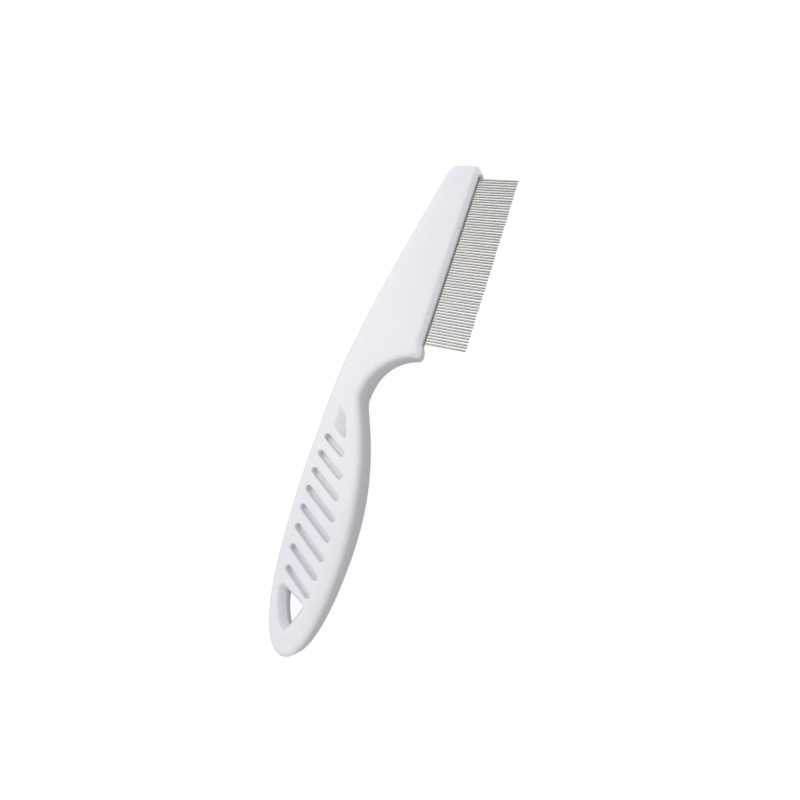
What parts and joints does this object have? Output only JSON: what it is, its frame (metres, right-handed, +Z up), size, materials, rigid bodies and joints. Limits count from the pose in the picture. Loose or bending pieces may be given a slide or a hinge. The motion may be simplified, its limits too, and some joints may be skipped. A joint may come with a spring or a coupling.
{
  "type": "flea comb",
  "caption": "Flea comb with a long white plastic handle, a slotted leaf-shaped grip, a hanging eye and a close row of fine round steel teeth.",
  "frame": {"origin": "on the plane that the back of the grip rests on, under the middle of the comb's box", "axes": "+X along the teeth towards their tips, +Y along the handle towards the head, +Z up through the front face"},
  "size_m": [0.0372, 0.1656, 0.0108],
  "materials": {
    "handle": "satin",
    "tooth_strip": "satin",
    "tooth_wire": "polished"
  },
  "bodies": {
    "root": {"handle": "handle", "tooth_strip": "tooth_strip", "tooth_wire_01": "tooth_wire", "tooth_wire_02": "tooth_wire", "tooth_wire_03": "tooth_wire", "tooth_wire_04": "tooth_wire", "tooth_wire_05": "tooth_wire", "tooth_wire_06": "tooth_wire", "tooth_wire_07": "tooth_wire", "tooth_wire_08": "tooth_wire", "tooth_wire_09": "tooth_wire", "tooth_wire_10": "tooth_wire", "tooth_wire_11": "tooth_wire", "tooth_wire_12": "tooth_wire", "tooth_wire_13": "tooth_wire", "tooth_wire_14": "tooth_wire", "tooth_wire_15": "tooth_wire", "tooth_wire_16": "tooth_wire", "tooth_wire_17": "tooth_wire", "tooth_wire_18": "tooth_wire", "tooth_wire_19": "tooth_wire", "tooth_wire_20": "tooth_wire", "tooth_wire_21": "tooth_wire", "tooth_wire_22": "tooth_wire", "tooth_wire_23": "tooth_wire", "tooth_wire_24": "tooth_wire", "tooth_wire_25": "tooth_wire", "tooth_wire_26": "tooth_wire", "tooth_wire_27": "tooth_wire", "tooth_wire_28": "tooth_wire", "tooth_wire_29": "tooth_wire", "tooth_wire_30": "tooth_wire", "tooth_wire_31": "tooth_wire", "tooth_wire_32": "tooth_wire"}
  },
  "joints": []
}
